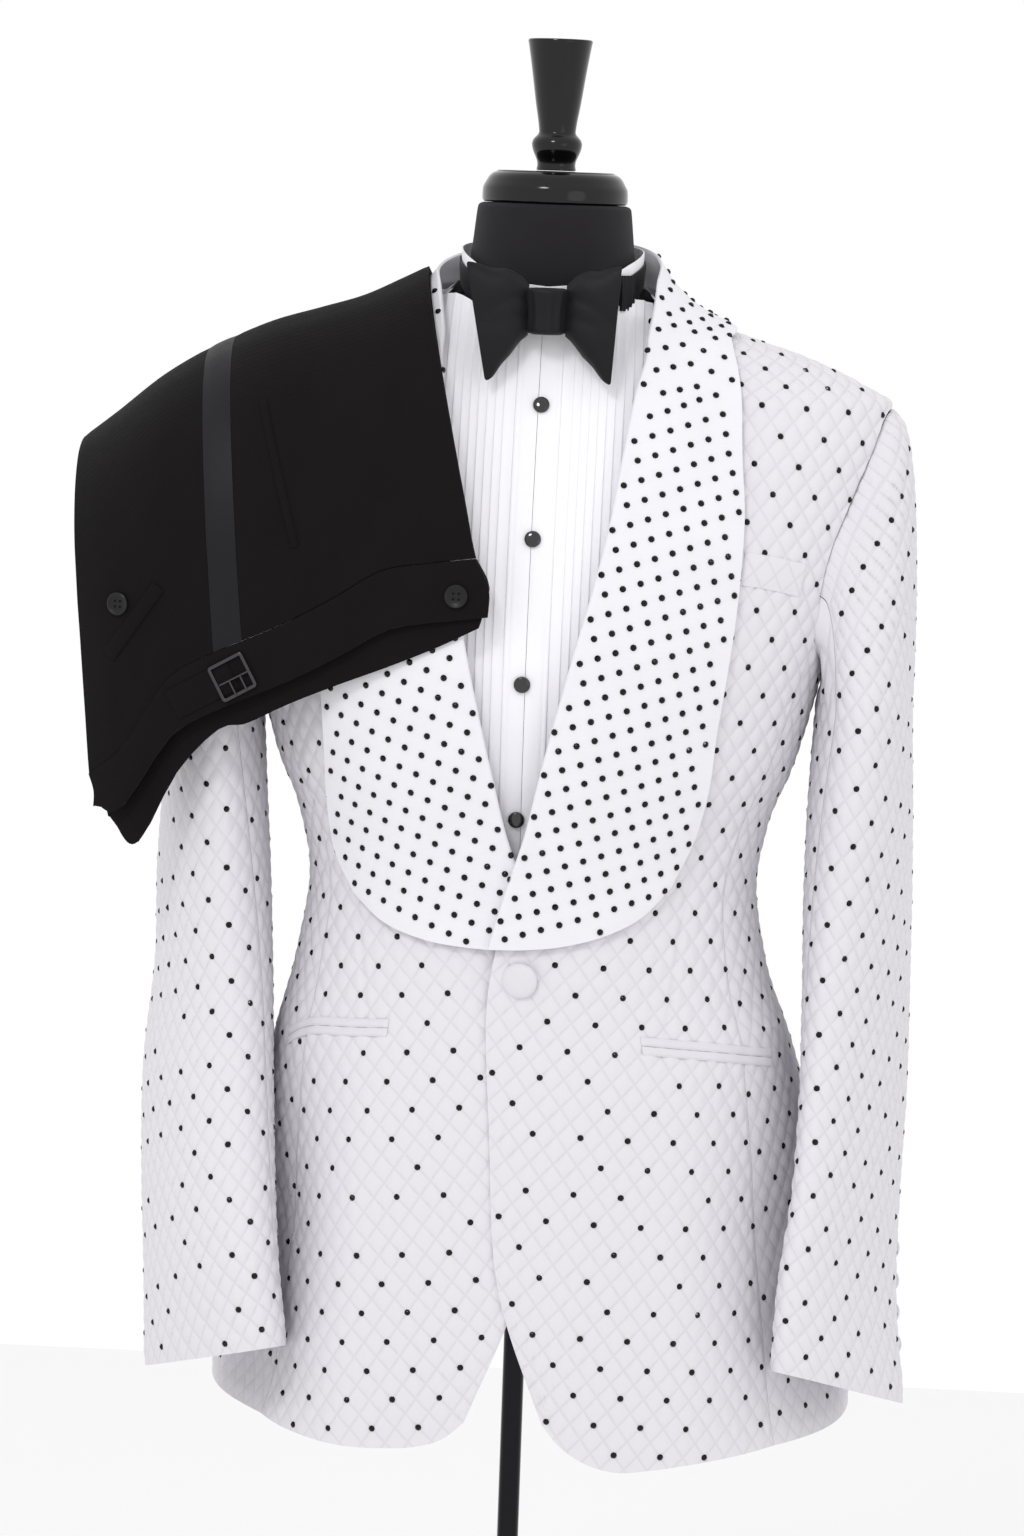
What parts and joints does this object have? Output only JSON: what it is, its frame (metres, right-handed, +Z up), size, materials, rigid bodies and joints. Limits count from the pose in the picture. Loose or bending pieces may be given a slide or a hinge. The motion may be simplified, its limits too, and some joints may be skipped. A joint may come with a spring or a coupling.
{
  "type": "tuxedo on a dress form",
  "caption": "Quilted shawl-lapel dinner jacket over a pin-tucked shirt and bow tie, with folded dress trousers, on a limbless dress form with a round base.",
  "frame": {"origin": "centre of the round base's underside, on the axis of the stand's pole", "axes": "+Z up along the pole, -Y the way the jacket faces, +X towards the wearer's left"},
  "size_m": [0.5779, 0.34, 1.631],
  "materials": {
    "quilted_ivory_cloth": "matte quilted cloth",
    "ivory_lapel_cloth": "soft satin-backed cloth",
    "white_poplin": "pressed cotton",
    "onyx_stud": "polished, silver rim",
    "black_satin": "silk satin",
    "black_wool": "matte worsted",
    "black_horn": "semi-gloss",
    "bright_metal": "gunmetal",
    "black_jersey": "matte stretch jersey",
    "black_lacquer": "high gloss",
    "chromed_steel": "polished",
    "black_iron": "satin powder coat"
  },
  "bodies": {
    "root": {"chest_pocket_welt": "quilted_ivory_cloth", "cuff_button_left_1": "quilted_ivory_cloth", "cuff_button_left_2": "quilted_ivory_cloth", "cuff_button_left_3": "quilted_ivory_cloth", "cuff_button_left_4": "quilted_ivory_cloth", "cuff_button_right_1": "quilted_ivory_cloth", "cuff_button_right_2": "quilted_ivory_cloth", "cuff_button_right_3": "quilted_ivory_cloth", "cuff_button_right_4": "quilted_ivory_cloth", "form_base": "black_iron", "form_finial": "black_lacquer", "form_neck_cap": "black_lacquer", "form_pole": "chromed_steel", "form_torso": "black_jersey", "front_button": "quilted_ivory_cloth", "hip_pocket_left_lower_jet": "quilted_ivory_cloth", "hip_pocket_left_upper_jet": "quilted_ivory_cloth", "hip_pocket_right_lower_jet": "quilted_ivory_cloth", "hip_pocket_right_upper_jet": "quilted_ivory_cloth", "jacket_back_left": "quilted_ivory_cloth", "jacket_back_right": "quilted_ivory_cloth", "jacket_front_left": "quilted_ivory_cloth", "jacket_front_right": "quilted_ivory_cloth", "jacket_side_left": "quilted_ivory_cloth", "jacket_side_right": "quilted_ivory_cloth", "lapel_left": "ivory_lapel_cloth", "lapel_right": "ivory_lapel_cloth", "shirt_back": "white_poplin", "shirt_bib_left": "white_poplin", "shirt_bib_right": "white_poplin", "shirt_collar": "white_poplin", "shirt_front_left": "white_poplin", "shirt_front_right": "white_poplin", "shirt_stud_1": "onyx_stud", "shirt_stud_2": "onyx_stud", "shirt_stud_3": "onyx_stud", "shirt_stud_4": "onyx_stud", "sleeve_top_left": "quilted_ivory_cloth", "sleeve_top_right": "quilted_ivory_cloth", "sleeve_under_left": "quilted_ivory_cloth", "sleeve_under_right": "quilted_ivory_cloth", "tie_band": "black_satin", "tie_band_slide": "black_satin", "tie_knot": "black_satin", "tie_wing_left": "black_satin", "tie_wing_right": "black_satin", "trousers_back_left": "black_wool", "trousers_back_pocket_button": "black_horn", "trousers_back_pocket_welt": "black_wool", "trousers_buckle": "bright_metal", "trousers_fold": "black_wool", "trousers_front_left": "black_wool", "trousers_front_pocket_jet": "black_wool", "trousers_side_tab": "black_wool", "trousers_stripe": "black_satin", "trousers_waistband_button": "black_horn", "trousers_waistband_left": "black_wool", "trousers_waistband_right": "black_wool"}
  },
  "joints": []
}
